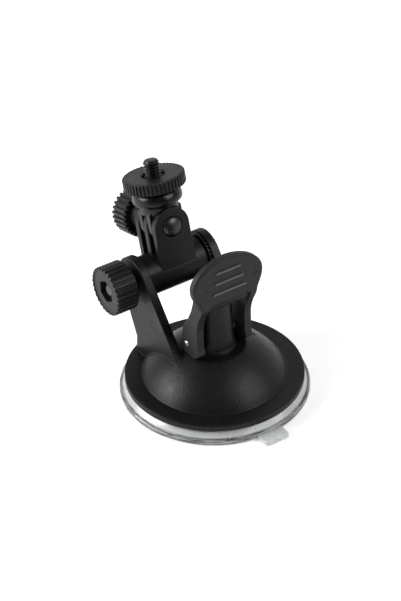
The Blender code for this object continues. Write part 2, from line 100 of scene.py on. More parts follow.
def lathe(profile, steps=128, closed=False, wave=None, seg=4, to=None):
    """A surface turned about Z from (r, z[, corner radius]); wave(r, z, angle) may change r."""
    path = fillet(profile, closed, seg)
    bm = bmesh.new()
    rings = []
    for r, z in path:
        if r < 1e-6:
            rings.append([bm.verts.new((0, 0, z * MM))])
            continue
        row = []
        for i in range(steps):
            a = TAU * i / steps
            q = (wave(r, z, a) if wave else r) * MM
            row.append(bm.verts.new((q * math.cos(a), q * math.sin(a), z * MM)))
        rings.append(row)
    pairs = list(zip(rings, rings[1:]))
    if closed:
        pairs.append((rings[-1], rings[0]))
    for p, q in pairs:
        for i in range(steps):
            j = (i + 1) % steps
            if len(p) == 1 and len(q) == 1:
                break
            if len(p) == 1:
                bm.faces.new((p[0], q[i], q[j]))
            elif len(q) == 1:
                bm.faces.new((p[i], q[0], p[j]))
            else:
                bm.faces.new((p[i], q[i], q[j], p[j]))
    me = to_mesh(bm)
    if to is not None:
        me.transform(to)
    return me


def slab(outline, lo, hi, edge=0.3, seg=3, to=None):
    """A flat piece from one closed outline, with its rims rounded to the radius edge."""
    pts = [Vector(p[:2]) for p in fillet(outline)]
    pts = [p for i, p in enumerate(pts) if (p - pts[i - 1]).length > 1e-4]
    area = sum(pts[i - 1].x * p.y - p.x * pts[i - 1].y for i, p in enumerate(pts))
    if area < 0:
        pts.reverse()
    n = len(pts)
    inward = []
    for i, p in enumerate(pts):
        a, b = (p - pts[i - 1]).normalized(), (pts[(i + 1) % n] - p).normalized()
        na, nb = Vector((-a.y, a.x)), Vector((-b.y, b.x))
        m = (na + nb)
        m = m / max(m.length_squared / 2, 0.35)
        inward.append(m)
    bm = bmesh.new()
    rows = []
    levels = []
    for j in range(seg + 1):
        t = math.pi / 2 * j / seg
        levels.append((lo + edge * (1 - math.sin(t)), edge * (1 - math.cos(t))))
    levels.reverse()
    levels += [(hi - (z - lo), d) for z, d in reversed(levels)]
    levels = levels if edge > 0 else [(lo, 0), (hi, 0)]
    for z, d in levels:
        rows.append([bm.verts.new(((p.x + m.x * d) * MM, (p.y + m.y * d) * MM, z * MM))
                     for p, m in zip(pts, inward)])
    for p, q in zip(rows, rows[1:]):
        for i in range(n):
            j = (i + 1) % n
            bm.faces.new((p[i], p[j], q[j], q[i]))
    bm.faces.new(list(reversed(rows[0])))
    bm.faces.new(rows[-1])
    me = to_mesh(bm)
    if to is not None:
        me.transform(to)
    return me


def boolean(a, b, operation):
    """The mesh a with the mesh b added to it, cut from it or intersected with it."""
    pair = [bpy.data.objects.new("operand", m) for m in (a, b)]
    for ob in pair:
        bpy.context.scene.collection.objects.link(ob)
    mod = pair[0].modifiers.new("op", "BOOLEAN")
    mod.operation, mod.solver, mod.object = operation, "EXACT", pair[1]
    deps = bpy.context.evaluated_depsgraph_get()
    me = bpy.data.meshes.new_from_object(pair[0].evaluated_get(deps))
    for ob in pair:
        data = ob.data
        bpy.data.objects.remove(ob, do_unlink=True)
        bpy.data.meshes.remove(data)
    return me


def add(a, *others):
    for b in others:
        a = boolean(a, b, "UNION")
    return a


def cut(a, *others):
    for b in others:
        a = boolean(a, b, "DIFFERENCE")
    return a


def rod(radius, lo, hi, steps=48, to=None):
    return lathe([(0, hi), (radius, hi), (radius, lo), (0, lo)], steps, to=to)


def circle(r, n, cx=0.0, cy=0.0, phase=0.0):
    return [(cx + r * math.cos(TAU * i / n + phase), cy + r * math.sin(TAU * i / n + phase))
            for i in range(n)]


def shift(x, y, z):
    return Matrix.Translation((x * MM, y * MM, z * MM))


Z_TO_X = Matrix.Rotation(math.radians(90), 4, "Y")
Z_TO_Y = Matrix.Rotation(math.radians(-90), 4, "X")
YZ_PLATE = Matrix(((0, 0, 1, 0), (1, 0, 0, 0), (0, 1, 0, 0), (0, 0, 0, 1)))
XZ_PLATE = Matrix(((1, 0, 0, 0), (0, 0, -1, 0), (0, 1, 0, 0), (0, 0, 0, 1)))
CLAMP = shift(0, AX_Y, AX_Z)
SWIVEL = CLAMP @ Matrix.Rotation(math.radians(-LEAN), 4, "X")
TILT = SWIVEL @ shift(0, 0, TILT_H)
LEVER = shift(0, 0, PIN_Z)


def ribs(count, depth, above, share=0.55, soft=0.2):
    """Grooves between the ribs of a grip, for radii over a limit."""
    def wave(r, z, a):
        if r < above:
            return r
        d = abs((a * count / TAU) % 1.0 - 0.5) * 2.0
        t = max(0.0, min(1.0, (share + soft - d) / soft))
        return r - depth * t * t * (3 - 2 * t)
    return wave


def thread(radius, pitch, depth, lo, hi, run=0.9):
    """A right-hand thread between two heights, for radii near the given one."""
    def wave(r, z, a):
        if not lo <= z <= hi or r < radius - depth * 0.6:
            return r
        f = (z / pitch - a / TAU) % 1.0
        d = abs(f - 0.5) * 2.0
        t = max(0.0, min(1.0, (d - 0.12) / 0.76))
        fade = min(1.0, (z - lo) / run, (hi - z) / (run * 0.35) if hi > z else 0.0)
        return r - depth * t * max(0.0, fade)
    return wave


def rows(radius, z0, z1, step):
    n = max(1, round(abs(z1 - z0) / step))
    return [(radius, z0 + (z1 - z0) * i / n) for i in range(n + 1)]


# ------------------------------------------------------------------ materials
class Graph:
    """A material's node tree, built in a few words."""

    def __init__(self, name):
        self.mat = bpy.data.materials.new(name)
        self.mat.use_nodes = True
        self.tree = self.mat.node_tree
        self.shader = self.tree.nodes["Principled BSDF"]
        self.coord = self.tree.nodes.new("ShaderNodeTexCoord").outputs["Object"]

    def put(self, socket, value):
        if isinstance(value, bpy.types.NodeSocket):
            self.tree.links.new(value, socket)
        else:
            socket.default_value = value

    def set(self, **values):
        for key, value in values.items():
            self.put(self.shader.inputs[key.replace("_", " ")], value)

    def node(self, kind, out=0, props=None, **inputs):
        n = self.tree.nodes.new(kind)
        for key, value in (props or {}).items():
            setattr(n, key, value)
        for key, value in inputs.items():
            key = key.replace("_", " ")
            self.put(n.inputs[int(key[1:])] if key[0] == "i" and key[1:].isdigit()
                     else n.inputs[key], value)
        return n.outputs[out]

    def noise(self, scale, detail=3.0, rough=0.55, vector=None, distortion=0.0):
        return self.node("ShaderNodeTexNoise", Vector=vector or self.coord, Scale=scale,
                         Detail=detail, Roughness=rough, Distortion=distortion)

    def cells(self, scale, vector=None, feature="F1", smooth=0.6):
        return self.node("ShaderNodeTexVoronoi", props={"feature": feature},
                         Vector=vector or self.coord, Scale=scale)

    def span(self, value, a, b, c, d):
        return self.node("ShaderNodeMapRange", Value=value, From_Min=a, From_Max=b,
                         To_Min=c, To_Max=d)

    def math(self, op, a, b=0.0):
        return self.node("ShaderNodeMath", props={"operation": op}, i0=a, i1=b)

    def mix(self, fac, a, b):
        n = self.tree.nodes.new("ShaderNodeMix")
        n.data_type = "RGBA"
        self.put(n.inputs["Factor"], fac)
        self.put(n.inputs[6], a)
        self.put(n.inputs[7], b)
        return n.outputs[2]

    def bump(self, height, distance, strength=1.0, normal=None):
        n = self.tree.nodes.new("ShaderNodeBump")
        self.put(n.inputs["Height"], height)
        self.put(n.inputs["Distance"], distance)
        self.put(n.inputs["Strength"], strength)
        if normal is not None:
            self.put(n.inputs["Normal"], normal)
        return n.outputs[0]

    def rounded(self, radius):
        """Normals rounded over a radius in mm, and how much they differ from the flat ones."""
        bevel = self.tree.nodes.new("ShaderNodeBevel")
        bevel.samples = 6
        bevel.inputs["Radius"].default_value = radius * MM
        geo = self.tree.nodes.new("ShaderNodeNewGeometry")
        dot = self.node("ShaderNodeVectorMath", out=1, props={"operation": "DOT_PRODUCT"},
                        i0=bevel.outputs[0], i1=geo.outputs["Normal"])
        return bevel.outputs[0], self.span(dot, 0.995, 0.80, 0.0, 1.0)

    def turned(self, radial, along):
        """Coordinates that run in rings round the piece's own Z axis."""
        flat = self.node("ShaderNodeVectorMath", props={"operation": "MULTIPLY"},
                         i0=self.coord, i1=(1.0, 1.0, 0.0))
        length = self.node("ShaderNodeVectorMath", out=1, props={"operation": "LENGTH"}, i0=flat)
        xyz = self.tree.nodes.new("ShaderNodeSeparateXYZ")
        self.put(xyz.inputs[0], self.coord)
        return self.node("ShaderNodeCombineXYZ", X=self.math("MULTIPLY", length, radial),
                         Y=self.math("MULTIPLY", xyz.outputs[2], along))


def grey(v, tint=(1.0, 1.0, 1.0)):
    return (v * tint[0], v * tint[1], v * tint[2], 1.0)


COOL = (0.985, 1.0, 1.02)


def plastic(name, base, rough, grain=2400.0, depth=0.030, edge_wear_and_highlight=1.9, edge=0.22, spec=0.5,
            dust=0.10, streak=None, ridge_highlight=None):
    """Black injection-moulded plastic: spark grain, gloss that varies, paler edges that are partly
    rubbed wear and partly painted highlight.
    """
    g = Graph(name)
    normal, edge_mask = g.rounded(edge)
    broad = g.noise(38.0, 2.0)
    patch = g.noise(210.0, 4.0, 0.6)
    fine = g.noise(grain, 2.5, 0.6)
    pit = g.cells(grain * 0.62)
    speck = g.noise(900.0, 1.0)
    tone = g.span(g.math("ADD", g.math("MULTIPLY", broad, 0.6), g.math("MULTIPLY", patch, 0.4)),
                  0.35, 0.65, 0.0, 1.0)
    colour = g.mix(tone, grey(base * 0.86, COOL), grey(base * 1.18, COOL))
    dots = g.span(speck, 0.66, 0.74, 0.0, dust)
    colour = g.mix(dots, colour, grey(min(1.0, base * 3.2)))
    # paler edges: partly rubbed wear, partly a painted highlight along the rounded rims
    broken = g.math("MULTIPLY", edge_mask, g.span(g.noise(480.0, 3.0), 0.35, 0.62, 0.25, 1.0))
    colour = g.mix(g.math("MULTIPLY", broken, 0.55), colour, grey(base * edge_wear_and_highlight, COOL))
    if ridge_highlight:
        # the ridge tops of the thumb pad are painted pale as a highlight: a plane's distance picks them
        # out
        front = g.node("ShaderNodeVectorMath", out=1, props={"operation": "DOT_PRODUCT"},
                       i0=g.coord, i1=(0.0, -0.9954, 0.0958))
        ridge = g.span(front, 0.014091 + 0.12 * MM, 0.014091 + 0.36 * MM, 0.0, 1.0)
        ridge = g.math("MULTIPLY", ridge, g.span(patch, 0.3, 0.6, 0.7, 1.0))
        colour = g.mix(ridge, colour, grey(ridge_highlight, COOL))
    g.set(Base_Color=colour)
    gloss = g.span(patch, 0.3, 0.7, rough - 0.045, rough + 0.05)
    gloss = g.math("ADD", gloss, g.span(fine, 0.3, 0.7, -0.03, 0.03))
    gloss = g.math("SUBTRACT", gloss, g.math("MULTIPLY", edge_mask, 0.06))
    g.set(Roughness=gloss)
    g.shader.inputs["Specular IOR Level"].default_value = spec
    height = g.math("ADD", g.math("MULTIPLY", fine, 0.65), g.math("MULTIPLY", pit, 0.35))
    bumped = g.bump(height, depth * MM, 1.0, normal)
    if streak:
        lines = g.noise(1.0, 3.0, 0.6, vector=g.turned(*streak))
        bumped = g.bump(lines, 0.012 * MM, 1.0, bumped)
    g.set(Normal=bumped)
    return g.mat


def metal(name, base, rough, radial=2600.0, along=5200.0, edge=0.10, tint=(1.0, 1.0, 1.0),
          tarnish=0.25, depth=0.004):
    """Plated or turned metal with fine rings round its axis."""
    g = Graph(name)
    normal, edge_mask = g.rounded(edge)
    rings = g.noise(1.0, 4.0, 0.65, vector=g.turned(radial, along))
    blot = g.noise(420.0, 4.0, 0.6)
    fine = g.noise(3600.0, 2.0)
    tone = g.span(blot, 0.38, 0.66, 0.0, tarnish)
    colour = g.mix(tone, grey(base, tint), grey(base * 0.55, tint))
    colour = g.mix(g.math("MULTIPLY", edge_mask, 0.5), colour, grey(min(0.9, base * 1.35), tint))
    g.set(Base_Color=colour, Metallic=1.0)
    gloss = g.math("ADD", g.span(rings, 0.3, 0.7, rough - 0.06, rough + 0.07),
                   g.span(fine, 0.3, 0.7, -0.02, 0.03))
    g.set(Roughness=gloss)
    g.set(Normal=g.bump(rings, depth * MM, 1.0, normal))
    return g.mat


def soft_pvc(name):
    """Clear soft vinyl: slightly milky, with faint flow rings, fine scratches and dust."""
    g = Graph(name)
    rings = g.noise(1.0, 3.0, 0.6, vector=g.turned(1500.0, 2400.0))
    haze = g.noise(90.0, 2.0, 0.5)
    fine = g.noise(1900.0, 2.0)
    tone = g.span(haze, 0.35, 0.68, 0.0, 1.0)
    # the thin lip is painted darker as shade, with streaks along it
    flat = g.node("ShaderNodeVectorMath", props={"operation": "MULTIPLY"},
                  i0=g.coord, i1=(1.0, 1.0, 0.0))
    radius = g.node("ShaderNodeVectorMath", out=1, props={"operation": "LENGTH"}, i0=flat)
    lip_shade = g.math("MULTIPLY", g.span(radius, 0.0364, 0.0370, 0.0, 1.0),
                 g.span(radius, 0.0381, 0.0384, 1.0, 0.0))
    xyz = g.tree.nodes.new("ShaderNodeSeparateXYZ")
    g.put(xyz.inputs[0], g.coord)
    turn = g.math("ARCTAN2", xyz.outputs[1], xyz.outputs[0])
    along = g.node("ShaderNodeCombineXYZ", X=g.math("MULTIPLY", turn, 5.0),
                   Y=g.math("MULTIPLY", radius, 1300.0), Z=g.math("MULTIPLY", xyz.outputs[2], 1900.0))
    streaks = g.noise(1.0, 3.0, 0.55, vector=along)
    lip_shade = g.math("MULTIPLY", lip_shade, g.span(streaks, 0.38, 0.60, 0.35, 1.0))
    colour = g.mix(tone, (0.80, 0.81, 0.815, 1.0), (0.72, 0.735, 0.74, 1.0))
    colour = g.mix(g.span(rings, 0.42, 0.60, 0.0, 0.35), colour, (0.55, 0.56, 0.565, 1.0))
    g.set(Base_Color=g.mix(lip_shade, colour, (0.075, 0.078, 0.080, 1.0)))
    g.set(Roughness=g.math("ADD", g.span(haze, 0.3, 0.7, 0.20, 0.32),
                           g.span(fine, 0.3, 0.7, -0.01, 0.01)))
    s = g.shader.inputs
    s["Transmission Weight"].default_value = 0.45
    s["IOR"].default_value = 1.45
    s["Specular IOR Level"].default_value = 0.5
    s["Coat Weight"].default_value = 0.12
    s["Coat Roughness"].default_value = 0.14
    g.set(Normal=g.bump(rings, 0.005 * MM, 1.0))
    return g.mat


# the edge factors below paint the edges paler: partly rubbed wear, partly painted highlight
BODY = plastic("moulded_black", 0.0042, 0.41, 1600.0, 0.085, edge_wear_and_highlight=9.0, spec=0.21)
GLOSSY = plastic("polished_black", 0.0020, 0.27, 1300.0, 0.006, edge_wear_and_highlight=1.5, dust=0.03, spec=0.27)
KNOB = plastic("knob_black", 0.0065, 0.42, 2100.0, 0.026, edge_wear_and_highlight=4.5, spec=0.26, streak=(900.0, 300.0))
# the pad's ridge tops get a pale colour: a painted highlight
PAD = plastic("lever_black", 0.0120, 0.50, 1500.0, 0.080, edge_wear_and_highlight=9.0, spec=0.24, ridge_highlight=0.10)
INNER = plastic("stud_black", 0.0060, 0.50, 1800.0, 0.020, spec=0.25)
STEEL = metal("zinc_plated_steel", 0.36, 0.30, tint=(1.0, 1.0, 1.01))
SCREW = metal("dark_nickel_steel", 0.030, 0.34, tint=(1.0, 1.0, 1.01), depth=0.003)
BOLT = metal("black_nickel_bolt", 0.050, 0.34, radial=900.0, along=1800.0, depth=0.002)
BLACKENED = metal("blackened_steel", 0.035, 0.42, tint=(1.0, 1.0, 1.02), tarnish=0.5)
# the insert's brass is painted near black: painted shade of its recess inside the wheel
BRASS_DARK_AS_SHADE = metal("turned_brass_painted_shade", 0.035, 0.45, tint=(1.0, 0.93, 0.80), tarnish=0.6)
DULL = metal("dull_zinc_steel", 0.11, 0.38, tint=(1.0, 1.0, 1.01))
VINYL = soft_pvc("clear_soft_vinyl")


# ------------------------------------------------------------------ putting a piece in place
def piece(name, mesh, mat, body, node, world=None, sharp=32.0):
    mesh.name = name
    mesh.materials.clear()
    mesh.materials.append(mat)
    mesh.shade_smooth()
    mesh.set_sharp_from_angle(angle=math.radians(sharp))
    ob = bpy.data.objects.new(name, mesh)
    bpy.context.scene.collection.objects.link(ob)
    if world is not None:
        ob.matrix_world = world
    even = ob.modifiers.new("even_normals", "WEIGHTED_NORMAL")
    even.keep_sharp = True
    even.weight = 60
    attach(ob, body)
    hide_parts(node)
    return ob


# ------------------------------------------------------------------ suction cup
def suction_cup():
    prof = [(0, 2.4), (12.3, 2.4, 0.4), (12.6, 5.0, 0.3), (14.2, 5.0, 0.3), (15.2, 2.4, 0.5),
            (26.0, 2.4, 1.5), (28.2, 3.1, 1.0), (30.4, 5.0, 0.8), (34.3, 5.0, 0.5),
            (35.9, 3.35, 1.0), (36.6, 2.72, 0.2), (36.8, 2.70, 0.1), (36.95, 2.48, 0.1),
            (37.6, 2.42, 0.3), (38.0, 2.05, 0.35), (38.0, 0.55, 0.4), (37.5, 0.0, 0.2), (0, 0.0)]
    cup = lathe(prof, 224, seg=6)
    x, y0, y1 = 5.5, -35.2, -44.0
    tab = [(x, y0), (-x, y0), (-x, y1, 1.5), (x, y1, 1.5)]
    cup = add(cup, slab(tab, 0.35, 2.05, 0.35, 4))
    # the moulded frame on the tab's upper face
    frame_out = [(4.3, -38.9, 0.6), (-4.3, -38.9, 0.6), (-4.3, -42.9, 0.9), (4.3, -42.9, 0.9)]
    cup = cut(cup, slab(frame_out, 1.86, 2.6, 0.0))
    piece("clear_cup", cup, VINYL, "base", "suction_cup")


# ------------------------------------------------------------------ base cover
def dome_arc(radius, z0, z1, n):
    a0 = math.acos((z0 - DOME_CZ) / radius)
    a1 = math.acos((z1 - DOME_CZ) / radius)
    return [(radius * math.sin(a0 + (a1 - a0) * i / n),
             DOME_CZ + radius * math.cos(a0 + (a1 - a0) * i / n)) for i in range(n + 1)]


def touch(point, centre, radius, side):
    d = Vector(point) - Vector(centre)
    return math.atan2(d.y, d.x) + side * math.acos(radius / d.length)


def arm_outline(grow=0.0):
    c, r = (AX_Y, AX_Z), ARM_HEAD_R + grow
    heel, toe = (28.8 + grow, 14.6), (0.3 - grow, 20.3)
    a_back = touch(heel, c, r, 1) % TAU - TAU
    a_front = touch(toe, c, r, -1) % TAU
    n = 64
    pts = [(c[0] + r * math.cos(a_back + (a_front - a_back) * i / n),
            c[1] + r * math.sin(a_back + (a_front - a_back) * i / n)) for i in range(n + 1)]
    return pts + [(-1.5 - grow, 18.13), (-1.5 - grow, 6.3), (29.4 + grow, 6.3),
                  (29.4 + grow, 8.0), heel]


def base_cover():
    dome = dome_arc(DOME_R, SEAT_Z, RIM_HI, 40)
    prof = [(5.75, TUBE_TOP, 0.15), (6.9, TUBE_TOP, 0.3), (7.0, TUBE_TOP - 0.4), (8.04, 22.3, 0.3),
            (8.75, 21.95, 0.15), (8.75, SEAT_Z, 0.2)]
    prof += dome[:-1] + [(dome[-1][0], RIM_HI, 0.5)]
    prof += [(RIM_R - 1.0, RIM_HI), (RIM_R - 0.85, RIM_HI - 0.10), (RIM_R - 0.7, RIM_HI),
             (RIM_R, RIM_HI, 0.42), (RIM_R, RIM_LO, 0.30)]
    prof += dome_arc(DOME_R - 2.0, RIM_LO, SEAT_Z - 2.0, 24) + [(6.6, SEAT_Z - 2.0)]
    cover = lathe(prof, 224, closed=True, seg=5)
    hollow = lathe([(0, DOME_CZ + 33.0)] + dome_arc(33.0, DOME_CZ + 32.8, 1.0, 28) + [(0, 1.0)], 112)
    skin = lathe([(0, DOME_CZ + DOME_R + 0.38)]
                 + dome_arc(DOME_R + 0.38, DOME_CZ + DOME_R + 0.30, RIM_HI + 0.38, 40)
                 + [(RIM_R - 1.2, RIM_HI + 0.38), (RIM_R - 1.2, RIM_HI - 0.8)]
                 + list(reversed(dome_arc(DOME_R - 0.9, DOME_CZ + DOME_R - 1.0, RIM_HI - 0.8, 40)))
                 + [(0, DOME_CZ + DOME_R - 0.9)], 150)
    for side in (-1, 1):
        lo, hi = sorted((side * ARM_IN, side * ARM_OUT))
        arm = slab(arm_outline(), lo, hi, 0.42, 4, to=YZ_PLATE)
        arm = cut(arm, hollow.copy())
        # narrow ledge at the arm's foot
        ledge = slab(arm_outline(0.5), lo - 0.45, hi + 0.45, 0.0, to=YZ_PLATE)
        ledge = boolean(ledge, skin.copy(), "INTERSECT")
        cover = add(cover, arm, ledge)
    at = CLAMP
    cover = cut(cover, rod(2.9, -20, -10, to=at @ Z_TO_X))
    hole = 5.6 / 2 / math.cos(math.pi / 4)
    square = [(hole * math.cos(TAU * i / 4 + math.pi / 4), hole * math.sin(TAU * i / 4 + math.pi / 4))
              for i in range(4)]
    cover = cut(cover, slab(square, 10, 20, 0.0, to=at @ Z_TO_X))
    w, n = PIN_R + 0.35, 16
    slot = [(w * math.cos(math.pi * i / n), PIN_Z + LIFT + w * math.sin(math.pi * i / n))
            for i in range(n + 1)]
    slot += [(-w * math.cos(math.pi * i / n), PIN_Z - w * math.sin(math.pi * i / n))
             for i in range(n + 1)]
    cover = cut(cover, slab(slot, -10, 10, 0.0, to=YZ_PLATE))
    piece("moulded_cover", cover, BODY, "base", "base_cover", sharp=28)


# ------------------------------------------------------------------ stud and pin
def stud_and_pin():
    prof = [(0, 36.0), (4.6, 36.0), (5.2, 35.4, 0.2), (5.2, 6.6, 0.6), (6.4, 4.6, 0.5),
            (11.6, 4.6, 0.3), (12.0, 4.2), (12.0, 2.7), (0, 2.7)]
    stud = lathe(prof, 96)
    stud = cut(stud, rod(PIN_R + 0.25, -8, 8, to=LEVER @ Z_TO_X))
    piece("lift_stud_piece", stud, INNER, "lift_stud", "cup_stud")

    def flutes(r, z, a):
        if r < 1.3 or abs(z) < 10.6:
            return r
        return r - 0.13 * (0.5 + 0.5 * math.cos(9 * a))
    pin = lathe([(0, 13.3), (1.0, 13.3), (1.5, 12.95)] + rows(1.5, 12.9, 10.7, 0.4)
                + [(1.5, 10.5), (1.5, -10.5)] + rows(1.5, -10.7, -12.9, 0.4)
                + [(1.5, -12.95), (1.0, -13.3), (0, -13.3)], 72, wave=flutes)
    piece("cross_pin", pin, STEEL, "lift_stud", "lever_pin", LEVER @ Z_TO_X)


# ------------------------------------------------------------------ lock lever
def web_outline():
    start, rate = PIN_Z - SEAT_Z - GAP, LIFT / math.radians(THROW)
    cam = []
    n = 28
    for i in range(n + 1):
        th = math.radians(THROW) * 0.80 * i / n
        h = start + rate * th
        cam.append((-h * math.sin(th) - rate * math.cos(th), -h * math.cos(th) + rate * math.sin(th)))
    pts = [(2.9, cam[0][1], 0.4)] + [p for p in cam if p[0] > -8.3]
    back = [(-8.6, 25.0, 0.25), (-8.25, 26.3, 0.5), (-7.7, 27.6, 1.2), (-7.6, 30.0, 3.0),
            (-7.5, 36.7, 5.0), (-8.2, 40.0, 5.0), (-9.4, 43.2, 6.0), (-10.9, 46.2, 6.0),
            (-11.8, 48.2, 1.0), (-11.3, 51.5, 1.0), (-10.9, 55.0, 1.0), (-8.8, 55.6, 1.0),
            (-5.6, 53.2, 2.0), (-4.7, 48.4, 5.0), (-3.5, 44.5, 6.0), (-1.0, 39.2, 6.0),
            (2.0, 34.8, 5.0),
            (2.9, 32.4, 3.0), (3.2, 29.9, 3.0)]
    return pts + [(y, z - PIN_Z, r) for y, z, r in back] + [(3.3, cam[0][1] + 0.8, 0.4)]


def pad_outline(grow=0.0):
    half, mid, rise, drop, leg = 16.1, 58.0, 10.5, 9.6, LEG_X[1]
    pts, n = [], 60
    for i in range(n + 1):
        u = math.pi * i / n
        c = math.cos(u)
        pts.append(((half + grow) * math.copysign(abs(c) ** 1.1, c),
                    mid + (rise + grow) * math.sin(u)))
    m = 16
    turns = [math.radians(55) * i / m for i in range(1, m + 1)]
    side = [(leg + (half - leg) * math.cos(v) ** 3 + grow, mid - (drop + grow) * math.sin(v))
            for v in turns] + [(leg + 0.05 + grow, mid - drop - grow, 0.65)]
    pts += [(-p[0], *p[1:]) for p in side]
    inner = [(-9.9, mid - drop - grow, 0.5), (-8.0, 49.25 - grow, 0.9)]
    pts += inner + [(-x, z, r) for x, z, r in reversed(inner)]
    return pts + list(reversed(side))


def lock_lever():
    y0, z0 = -11.5, 54.0
    place = shift(0, y0, z0 - PIN_Z) @ Matrix.Rotation(math.radians(-5.5), 4, "X")

    def flat(points, dz=0.0):
        return [(p[0], p[1] - z0 + dz, *p[2:]) for p in points]
    body = slab(flat(pad_outline()), -3.2, -0.34, 0.55, 5, to=place @ XZ_PLATE)
    face = slab(flat(pad_outline(-0.75)), -1.5, 0.0, 0.26, 4, to=place @ XZ_PLATE)
    lever = add(body, face)
    web = web_outline()
    for side in (-1, 1):
        lo, hi = sorted((side * LEG_X[0], side * LEG_X[1]))
        lever = add(lever, slab(web, lo, hi, 0.42, 4, to=YZ_PLATE))
    bar = [(-11.4, 50.5), (-9.9, 45.9, 0.5), (-6.2, 45.9, 0.8), (-5.5, 50.0, 1.0), (-6.4, 52.6, 1.0),
           (-9.0, 55.2), (-11.0, 55.4)]
    lever = add(lever, slab([(y, z - PIN_Z, *r) for y, z, *r in bar], -9.9, 9.9, 0.0, to=YZ_PLATE))
    # XZ_PLATE turns an outline's thickness towards -Y, so the ridges stand out in front
    for z, half in ((62.9, 5.65), (58.5, 6.6), (54.2, 7.6)):
        dz, w = z - z0, 0.44
        ridge = [(half, dz - w, w), (half, dz + w, w), (-half, dz + w, w), (-half, dz - w, w)]
        lever = add(lever, slab(ridge, -0.8, 0.62, 0.36, 4, to=place @ XZ_PLATE))
    for x, z, r in ((-11.2, 57.6, 1.55), (11.2, 57.6, 1.55)):
        mark = slab(circle(r, 40, x, z - z0), -0.16, 0.6, 0.0, to=place @ XZ_PLATE)
        lever = cut(lever, mark)
    lever = cut(lever, rod(PIN_R + 0.3, -15, 15, to=Z_TO_X))
    piece("thumb_lever", lever, PAD, "lever", "lock_lever", LEVER, sharp=28)


# ------------------------------------------------------------------ clamp screw
def hexagon(flats):
    return circle(flats / 2 / math.cos(math.pi / 6), 6)


def hex_nut(flats, lo, hi, bore):
    """A hexagon nut with turned chamfers on both faces and a countersunk bore."""
    nut = slab(hexagon(flats), lo - 0.2, hi + 0.2, 0.0)
    r = flats / 2
    turned = lathe([(0, hi), (r * 0.93, hi), (r * 1.16, hi - r * 0.12), (r * 1.16, lo + r * 0.12),
                    (r * 0.93, lo), (0, lo)], 144)
    nut = boolean(nut, turned, "INTERSECT")
    bore_shape = lathe([(0, hi + 1), (bore + 1.35, hi + 1), (bore, hi - 0.35), (bore, lo + 0.35),
                        (bore + 1.35, lo - 1), (0, lo - 1)], 72)
    return cut(nut, bore_shape)


def clamp_screw():
    a = ARM_OUT + GAP
    world = CLAMP @ Z_TO_X
    m5 = thread(2.5, 0.8, 0.42, -28.4, -20.5)
    prof = [(0, a + 2.9), (1.0, a + 2.86), (1.9, a + 2.7), (2.8, a + 2.45), (3.6, a + 2.1),
            (4.3, a + 1.65), (4.9, a + 1.1), (5.25, a + 0.6), (5.4, a + 0.3), (5.4, a, 0.1),
            (2.5, a), (2.5, -20.4)]
    prof += rows(2.5, -20.5, -28.4, 0.066) + [(2.45, -28.6), (2.0, -29.0), (0, -29.0)]
    bolt = lathe(prof, 64, wave=m5)
    square = [(x, y, 0.2) for x, y in ((2.5, 2.5), (-2.5, 2.5), (-2.5, -2.5), (2.5, -2.5))]
    bolt = add(bolt, slab(square, a - 3.2, a + 0.3, 0.0))
    piece("clamp_bolt_piece", bolt, DULL, "base", "clamp_bolt", world)

    w = -ARM_OUT - GAP
    washer = lathe([(2.8, w, 0.1), (5.2, w, 0.15), (5.2, w - 1.0, 0.15), (2.8, w - 1.0, 0.1)],
                   96, closed=True)
    piece("clamp_washer_piece", washer, STEEL, "base", "clamp_washer", world)

    lo, hi, c0, r = -30.6, -21.0, w - 1.3, 10.15
    prof = [(2.9, lo + 0.4), (8.75, lo + 0.4), (8.95, lo + 0.05, 0.1), (9.25, lo, 0.1),
            (r - 0.35, lo, 0.1), (r, lo + 0.40, 0.3), (r, lo + 1.2), (r, -26.0), (r, hi - 1.2),
            (r, hi - 0.35, 0.3), (r - 0.35, hi, 0.1), (9.0, hi), (7.9, hi, 0.2),
            (7.9, c0 - 0.4, 0.2), (7.6, c0), (2.9, c0)]
    knob = lathe(prof, 28 * 14, closed=True, wave=ribs(28, 0.85, 9.3, 0.26, 0.28))
    knob = cut(knob, slab(hexagon(8.5), lo - 1, -23.6, 0.0))
    piece("clamp_hand_knob", knob, KNOB, "clamp_knob_body", "clamp_knob", world)
    nut = hex_nut(8.0, -27.8, -23.9, 2.8)
    piece("clamp_hex_nut", nut, DULL, "clamp_knob_body", "clamp_nut", world)

    n, pts = 36, []
    for i in range(n):
        b = TAU * i / n
        for f, rad in ((-0.16, 9.7), (0.16, 9.7), (0.40, 8.95), (0.60, 8.95)):
            pts.append((rad * math.cos(b + f * TAU / n), rad * math.sin(b + f * TAU / n)))
    teeth = slab(pts, 13.2, 14.1, 0.10, 2)
    teeth = cut(teeth, rod(4.0, 12, 15, 64))
    piece("toothed_ring", teeth, BLACKENED, "base", "serrated_washer", world)


# ------------------------------------------------------------------ pivot barrel
def ear(half, radius, low, high, n=48):
    return [(-half, low), (half, low)] + [
        (radius * math.cos(math.pi * i / n), high + radius * math.sin(math.pi * i / n))
        for i in range(n + 1)]


def pivot_barrel():
    lo, hi, r = -14.1, 12.9, 8.3
    barrel = lathe([(0, hi), (7.0, hi), (r, hi, 0.4), (r, lo, 0.4), (0, lo)], 128, to=Z_TO_X)
    for k in (-1, 0, 1):
        mid = k * 6.4
        barrel = add(barrel, slab(ear(7.9, 7.9, -0.5, TILT_H), -(mid + 1.5), -(mid - 1.5), 0.40, 4,
                                  to=XZ_PLATE))
    at = shift(0, 0, TILT_H)
    face = 7.9
    barrel = cut(barrel, rod(2.9, lo - 1, hi + 1, 64, to=Z_TO_X),
                 rod(2.3, -10, 10, 64, to=at @ Z_TO_Y),
                 lathe([(0, -face - 1), (4.40, -face - 1), (4.40, -face - 0.05), (4.34, -face + 0.1),
                        (4.34, -face + 1.2, 0.15), (0, -face + 1.2)], 96, to=at @ Z_TO_Y))
    piece("barrel_moulding", barrel, BODY, "barrel", "pivot_barrel", SWIVEL, sharp=28)


